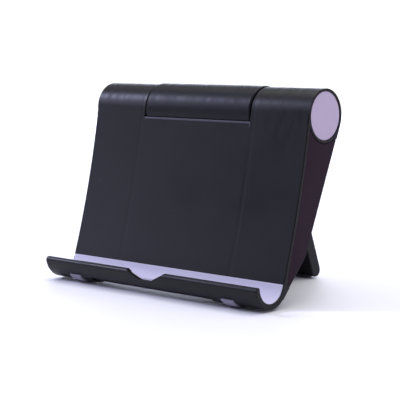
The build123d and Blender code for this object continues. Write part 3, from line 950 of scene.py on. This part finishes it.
# ---------------------------------------------------------------- rubber pieces
@dataclass
class CradleLiner:
    """The soft lining of the cradle, with the two lugs that it stands on."""

    stance: Stance
    finish: bpy.types.Material
    lug_finish: bpy.types.Material
    length: float = 99.2
    pocket: float = 0.7
    proud: float = 0.1
    panel_rise: float = 1.2
    lip_gap_deg: float = 9.0
    edge_round: float = 0.22
    lug_centre: float = 36.2
    lug_width: float = 5.4
    lug_start_deg: float = 56.0
    lug_end_deg: float = 115.0
    lug_flat: float = 0.15
    lug_round: float = 0.6
    notch_top: float = 18.8
    notch_floor: float = 5.2
    notch_depth: float = 3.3
    notch_edge_round: float = 0.12
    notch_edge_steps: int = 2
    notch_sharp_deg: float = 50.0
    cradle_steps: int = 56
    rise_steps: int = 3
    lug_steps: int = 18

    def path(self) -> list[Vector]:
        """Runs along the middle of the lining, from the lip's end round the cradle and up the panel.

        Returns:
            The path's points, in millimetres.
        """
        stance = self.stance
        to_low = stance.cradle - stance.bow
        low_deg = math.degrees(math.atan2(to_low.y, to_low.x))
        top_deg = low_deg + math.degrees(self.panel_rise / stance.bow_radius)
        depth = (self.pocket - self.proud) / 2
        lip_deg = self.lip_gap_deg - stance.lip_deg
        low = on_arc(stance.cradle, stance.cradle_radius + depth, lip_deg, low_deg, self.cradle_steps)
        rise = on_arc(stance.bow, stance.bow_radius + depth, low_deg, top_deg, self.rise_steps)
        return low + rise[1:]

    def lug(self, middle: float) -> bpy.types.Mesh:
        """Makes one lug, flat where it rests on the table.

        Args:
            middle: Its place along the hinge, in millimetres.

        Returns:
            The lug's closed mesh.
        """
        stance = self.stance
        outside = stance.cradle_outer + stance.lug_proud + self.lug_flat
        inside = stance.cradle_radius + self.pocket / 2
        middle_radius = (outside + inside) / 2
        path = on_arc(
            stance.cradle, middle_radius, -self.lug_start_deg, -self.lug_end_deg, self.lug_steps
        )
        sizes = {"Width": self.lug_width, "Thickness": outside - inside, "Edge Round": self.lug_round}
        place = stance.matrix(Frame.BODY) @ Matrix.Translation((0, 0, middle))
        mesh = StripTree().strip("lug", path, sizes, self.lug_finish, place)
        cut_at_table(mesh)
        return mesh

    def notch_cutter(self) -> bpy.types.Object:
        """Makes the block that cuts the cable notch out of the lining's front.

        Returns:
            The block, which widens upward and reaches forward from the cradle's axis.
        """
        stance = self.stance
        lip = stance.cradle + (stance.cradle_radius + stance.wall / 2) * Vector(
            (math.cos(math.radians(stance.lip_deg)), -math.sin(math.radians(stance.lip_deg)))
        )
        top = stance.height(lip)
        above = top + stance.cradle_radius
        half_top, half_floor = self.notch_top / 2, self.notch_floor / 2
        spread = half_top + (half_top - half_floor) * (above - top) / self.notch_depth
        outline = [
            (-half_floor, top - self.notch_depth),
            (half_floor, top - self.notch_depth),
            (spread, above),
            (-spread, above),
        ]
        behind = (stance.matrix(Frame.BODY) @ stance.cradle.to_3d()).y
        bm = bmesh.new()
        face = bm.faces.new([bm.verts.new((x * MM, behind, z * MM)) for x, z in outline])
        pulled = bmesh.ops.extrude_face_region(bm, geom=[face])["geom"]
        front = [part for part in pulled if isinstance(part, bmesh.types.BMVert)]
        bmesh.ops.translate(bm, vec=(0, -2 * stance.cradle_outer * MM, 0), verts=front)
        bmesh.ops.recalc_face_normals(bm, faces=bm.faces[:])
        return show("notch_cutter", new_mesh("notch_cutter", bm))

    def build(self) -> bpy.types.Object:
        """Makes the lining and its lugs as one piece.

        Returns:
            The piece, which stands for the CAD lining and rides on the stand's body.
        """
        sizes = {
            "Width": self.length,
            "Thickness": self.pocket + self.proud,
            "Edge Round": self.edge_round,
        }
        place = self.stance.matrix(Frame.BODY)
        lining = show("lining", StripTree().strip("lining", self.path(), sizes, self.finish, place))
        cutter = self.notch_cutter()
        cut = lining.modifiers.new("cable_notch", "BOOLEAN")
        cut.operation, cut.solver, cut.object = "DIFFERENCE", "EXACT", cutter
        settle(lining)
        bpy.data.objects.remove(cutter)
        rounding = lining.modifiers.new("edges", "BEVEL")
        rounding.width = self.notch_edge_round * MM
        rounding.segments = self.notch_edge_steps
        rounding.limit_method = "ANGLE"
        rounding.angle_limit = math.radians(self.notch_sharp_deg)
        settle(lining)
        parts = [lining.data, self.lug(-self.lug_centre), self.lug(self.lug_centre)]
        bpy.data.objects.remove(lining)
        piece = show("cradle_lining_moulding", joined("cradle_lining_moulding", parts))
        smooth_by_angle(piece.data)
        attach(piece, Frame.BODY.value)
        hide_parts("cradle_liner")
        LOG.info("made %s, %d faces", piece.name, len(piece.data.polygons))
        return piece


@dataclass
class FootPads:
    """The two rubber pads round the tip of the leg."""

    stance: Stance
    finish: bpy.types.Material
    inner_end: float = 11.5
    width: float = 10.0
    seat: float = 1.0
    flat: float = 0.15
    start_deg: float = 25.0
    end_deg: float = 160.0
    edge_round: float = 0.35
    steps: int = 28

    def build(self) -> list[bpy.types.Object]:
        """Makes both pads.

        Returns:
            The pads, right one first, which ride on the leg.
        """
        stance = self.stance
        tip = stance.leg_thickness / 2
        inside, outside = tip - self.seat, tip + stance.pad_proud + self.flat
        middle_radius = (inside + outside) / 2
        path = on_arc(stance.leg_tip, middle_radius, -self.start_deg, -self.end_deg, self.steps)
        sizes = {"Width": self.width, "Thickness": outside - inside, "Edge Round": self.edge_round}
        pads = []
        for hand, side in HANDS:
            middle = side * (self.inner_end + self.width / 2)
            place = stance.matrix(Frame.LEG) @ Matrix.Translation((0, 0, middle))
            mesh = StripTree().strip(f"foot_pad_{hand}", path, sizes, self.finish, place)
            cut_at_table(mesh)
            pad = show(f"foot_pad_moulding_{hand}", joined(f"foot_pad_moulding_{hand}", [mesh]))
            smooth_by_angle(pad.data)
            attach(pad, Frame.LEG.value)
            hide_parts(f"leg_foot_pad_{hand}")
            pads.append(pad)
            LOG.info("made %s, %d faces", pad.name, len(pad.data.polygons))
        return pads


# ---------------------------------------------------------------- ratchet springs
@dataclass(frozen=True)
class CoilTree:
    """Geometry Nodes tree of a coil spring, with its axis along Z and its first end at the origin."""

    name: str = "coil_spring"
    steps_per_turn: int = 28
    wire_sides: int = 12

    def tree(self) -> bpy.types.GeometryNodeTree:
        """Makes the tree, or returns the one made before.

        Returns:
            A tree with inputs for the coil's radius, length, turns and hand, its wire, and its finish.
        """
        made = bpy.data.node_groups.get(self.name)
        if made:
            return made
        tree = bpy.data.node_groups.new(self.name, "GeometryNodeTree")
        sockets = tree.interface
        for label, kind in (
            ("Coil Radius", "NodeSocketFloat"),
            ("Wire Radius", "NodeSocketFloat"),
            ("Length", "NodeSocketFloat"),
            ("Turns", "NodeSocketFloat"),
            ("Left Handed", "NodeSocketBool"),
            ("Finish", "NodeSocketMaterial"),
        ):
            sockets.new_socket(label, in_out="INPUT", socket_type=kind)
        sockets.new_socket("Spring", in_out="OUTPUT", socket_type="NodeSocketGeometry")
        given = add_node(tree, "NodeGroupInput").outputs
        coil = add_node(
            tree,
            "GeometryNodeCurveSpiral",
            inputs={
                "Resolution": self.steps_per_turn,
                "Rotations": given["Turns"],
                "Start Radius": given["Coil Radius"],
                "End Radius": given["Coil Radius"],
                "Height": given["Length"],
                "Reverse": given["Left Handed"],
            },
        )
        wire = add_node(
            tree,
            "GeometryNodeCurvePrimitiveCircle",
            inputs={"Resolution": self.wire_sides, "Radius": given["Wire Radius"]},
        )
        swept = add_node(
            tree,
            "GeometryNodeCurveToMesh",
            inputs={"Curve": coil.outputs[0], "Profile Curve": wire.outputs["Curve"], "Fill Caps": True},
        )
        real = add_node(tree, "GeometryNodeRealizeInstances", inputs={"Geometry": swept.outputs["Mesh"]})
        dressed = add_node(
            tree,
            "GeometryNodeSetMaterial",
            inputs={"Geometry": real.outputs["Geometry"], "Material": given["Finish"]},
        )
        add_node(tree, "NodeGroupOutput", inputs={"Spring": dressed.outputs["Geometry"]})
        return tree


@dataclass
class RatchetSprings:
    """The two springs in the barrel, between the sliders and the washers."""

    hinge: Vector
    finish: bpy.types.Material
    wire: float = 1.0
    coil_radius: float = 3.6
    turns: float = 6.5
    slider_end: float = 32.5
    washer_end: float = 44.9
    travel: float = 0.9
    smooth_deg: float = 60.0

    def build(self) -> list[bpy.types.Object]:
        """Makes both springs.

        Returns:
            The springs, right one first.
        """
        length = self.washer_end - self.slider_end
        springs = []
        for hand, side in HANDS:
            name = f"coiled_spring_{hand}"
            values: dict[str, object] = {
                "Coil Radius": self.coil_radius,
                "Wire Radius": self.wire / 2,
                "Length": length - self.wire,
                "Turns": self.turns,
                "Left Handed": side < 0,
                "Finish": self.finish,
            }
            mesh = grown(name, bpy.data.meshes.new(name), CoilTree().tree(), values)
            start = self.hinge + Vector((side * (self.slider_end + self.wire / 2) * MM, 0, 0))
            along = Matrix.Rotation(math.radians(90 * side), 4, "Y")
            mesh.transform(Matrix.Translation(start) @ along @ Matrix.Scale(MM, 4))
            spring = show(name, joined(name, [mesh]))
            smooth_by_angle(spring.data, self.smooth_deg)
            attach(spring, Frame.BODY.value)
            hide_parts(f"ratchet_spring_{hand}")
            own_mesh(spring)
            springs.append(spring)
            LOG.info("made %s, %d faces", name, len(spring.data.polygons))
        return springs


# ---------------------------------------------------------------- carried-over pieces
def both_hands(piece: str) -> list[str]:
    """Names the right and the left one of a paired piece."""
    return [f"{piece}_{hand}" for hand, _ in HANDS]


def dress(nodes: Iterable[str], material: bpy.types.Material) -> None:
    """Gives CAD nodes one material.

    Args:
        nodes: Node names.
        material: The finish.
    """
    for name in nodes:
        mesh = frame["nodes"][name].data
        mesh.materials.clear()
        mesh.materials.append(material)
        LOG.info("dressed %s in %s", name, material.name)


@dataclass(frozen=True)
class StandBody:
    """The front sheet, the covers behind it and the barrel's caps, which keep their CAD faces."""

    hinge: Vector
    sheet: MouldedPlastic = SATIN_ABS
    covers: MouldedPlastic = COVER_ABS
    caps: MouldedPlastic = CAP_PLASTIC

    def dress(self) -> None:
        """Gives the mouldings their finishes, with a painted highlight along the edge of the sheet's
        opening.
        """
        dress(["front_shell"], self.sheet.material(PaintedEdgeHighlight(self.hinge)))
        dress(both_hands("rear_cover"), self.covers.material())
        dress(both_hands("end_cap"), self.caps.material())


@dataclass(frozen=True)
class Leg:
    """The leg's plate with its barrel, and the cover inside it, which keep their CAD faces."""

    moulding: MouldedPlastic = LEG_ABS

    def dress(self) -> None:
        """Gives both mouldings one finish."""
        dress(["leg_shell", "leg_cover"], self.moulding.material())


@dataclass(frozen=True)
class HingeWorks:
    """The axle, ratchet, washers and clips inside the barrel, which keep their CAD faces."""

    toothed: MouldedPlastic = ACETAL
    turned: DrawnSteel = BRIGHT_STEEL

    def dress(self, spring_steel: bpy.types.Material) -> None:
        """Gives the works their finishes.

        Args:
            spring_steel: The clips' material, which the springs share.
        """
        dress(both_hands("ratchet_hub") + both_hands("ratchet_slider"), self.toothed.material())
        dress(both_hands("spring_washer") + ["hinge_axle"], self.turned.material())
        dress(both_hands("retaining_clip"), spring_steel)


# ---------------------------------------------------------------- studio
@dataclass(frozen=True)
class Softbox:
    """One soft rectangular light, with its place and size in metres and its power in watts."""

    name: str
    place: tuple[float, float, float]
    size: tuple[float, float]
    watts: float
    colour: str


SOFTBOXES = (
    Softbox("left_key_softbox", (-0.97, -0.47, 0.78), (0.3, 0.26), 9.0, "#d6d8ff"),
    Softbox("front_left_softbox", (-1.05, -0.7, 0.5), (0.4, 0.3), 2.8, "#dcdcff"),
    Softbox("right_softbox", (1.15, 0.3, 0.34), (0.7, 0.5), 5.0, "#f2eeff"),
    Softbox("backdrop_glow", (-0.9, 1.1, 0.35), (0.9, 0.5), 6.0, "#dfe4ff"),
)


@dataclass(frozen=True)
class Dome:
    """A broad, even light from above, with its strength in watts per square metre."""

    name: str = "overhead_dome"
    place: tuple[float, float, float] = (-0.05, 0.25, 1.0)
    angle_deg: float = 75.0
    strength: float = 2.1


@dataclass
class Studio:
    """A pale sweep of floor, soft lights and the camera."""

    hinge: Vector
    camera_from_hinge_mm: tuple[float, float, float] = (305.24, -357.52, 23.15)
    azimuth_deg: float = 41.07
    elevation_deg: float = 6.75
    lens_mm: float = 116.5
    sensor_mm: float = 36.0
    nearest_m: float = 0.01
    floor_radius: float = 1.2
    floor_sides: int = 96
    floor_colour: str = "#f4f4f8"
    floor_roughness: float = 0.6
    lit_point: tuple[float, float, float] = (0.0, 0.0, 0.05)
    surround_colour: str = "#e4e4f2"
    surround_strength: float = 0.32
    backdrop_colour: str = "#ffffff"
    backdrop_strength: float = 1.1

    def floor(self) -> None:
        """Lays the floor."""
        bm = bmesh.new()
        bmesh.ops.create_circle(bm, cap_ends=True, segments=self.floor_sides, radius=self.floor_radius)
        floor = show("floor", new_mesh("floor", bm))
        material = bpy.data.materials.new("white_paper_sweep")
        material.use_nodes = True
        shader = material.node_tree.nodes["Principled BSDF"]
        shader.inputs["Base Color"].default_value = linear(self.floor_colour)
        shader.inputs["Roughness"].default_value = self.floor_roughness
        floor.data.materials.append(material)

    def softbox(self, light: Softbox) -> None:
        """Hangs one soft rectangular light, turned to the stand.

        Args:
            light: The light.
        """
        data = bpy.data.lights.new(light.name, "AREA")
        data.shape = "RECTANGLE"
        data.size, data.size_y = light.size
        data.energy = light.watts
        data.color = linear(light.colour)[:3]
        self._hang(data, light.place, self.lit_point)

    def dome(self, light: Dome) -> None:
        """Adds the broad light, turned to the middle of the floor.

        Args:
            light: The light.
        """
        data = bpy.data.lights.new(light.name, "SUN")
        data.angle = math.radians(light.angle_deg)
        data.energy = light.strength
        self._hang(data, light.place, (0.0, 0.0, 0.0))

    @staticmethod
    def _hang(data: bpy.types.Light, place: Sequence[float], aim: Sequence[float]) -> None:
        """Places a light, hides its own shape from the camera and turns it.

        Args:
            data: The light.
            place: Where it hangs.
            aim: The point that it faces.
        """
        lamp = bpy.data.objects.new(data.name, data)
        lamp.location = Vector(place)
        lamp.rotation_euler = (Vector(aim) - Vector(place)).to_track_quat("-Z", "Y").to_euler()
        lamp.visible_camera = False
        bpy.context.scene.collection.objects.link(lamp)

    def surround(self) -> None:
        """Sets the surrounding glow, which the camera itself sees as clean white."""
        world = bpy.data.worlds.new("white_surround")
        world.use_nodes = True
        tree = world.node_tree
        glow = tree.nodes["Background"]
        glow.inputs["Color"].default_value = linear(self.surround_colour)
        glow.inputs["Strength"].default_value = self.surround_strength
        backdrop = add_node(
            tree,
            "ShaderNodeBackground",
            inputs={"Color": linear(self.backdrop_colour), "Strength": self.backdrop_strength},
        )
        seen = add_node(tree, "ShaderNodeLightPath").outputs["Is Camera Ray"]
        mixed = add_node(
            tree,
            "ShaderNodeMixShader",
            inputs={0: seen, 1: glow.outputs[0], 2: backdrop.outputs[0]},
        )
        tree.links.new(mixed.outputs[0], tree.nodes["World Output"].inputs["Surface"])
        bpy.context.scene.world = world

    def camera(self) -> None:
        """Stands the camera to the right of the stand and a little above it."""
        data = bpy.data.cameras.new("camera")
        data.lens = self.lens_mm
        data.sensor_width = self.sensor_mm
        data.sensor_fit = "HORIZONTAL"
        data.clip_start = self.nearest_m
        camera = bpy.data.objects.new("camera", data)
        camera.location = self.hinge + Vector(self.camera_from_hinge_mm) * MM
        camera.rotation_euler = (
            math.radians(90 - self.elevation_deg),
            0.0,
            math.radians(self.azimuth_deg),
        )
        bpy.context.scene.collection.objects.link(camera)
        bpy.context.scene.camera = camera
        bpy.context.scene.view_settings.view_transform = "Standard"

    def build(self) -> None:
        """Sets up the whole studio."""
        self.floor()
        self.dome(Dome())
        for light in SOFTBOXES:
            self.softbox(light)
        self.surround()
        self.camera()


def main() -> None:
    """Builds and dresses the stand, then the studio."""
    logging.basicConfig(level=logging.INFO, format="%(name)s: %(message)s")
    hinge = next(Vector(joint["pos_m"]) for joint in frame["joints"] if joint["name"] == "leg_hinge")
    stance = Stance(hinge / MM)
    spring_steel = SPRING_STEEL.material()
    StandBody(hinge).dress()
    Leg().dress()
    HingeWorks().dress(spring_steel)
    CradleLiner(stance, LAVENDER_SILICONE.material(), SHADED_SILICONE.material()).build()
    FootPads(stance, GREY_SILICONE.material()).build()
    RatchetSprings(hinge, spring_steel).build()
    Studio(hinge).build()


if __name__ == "__main__":
    main()
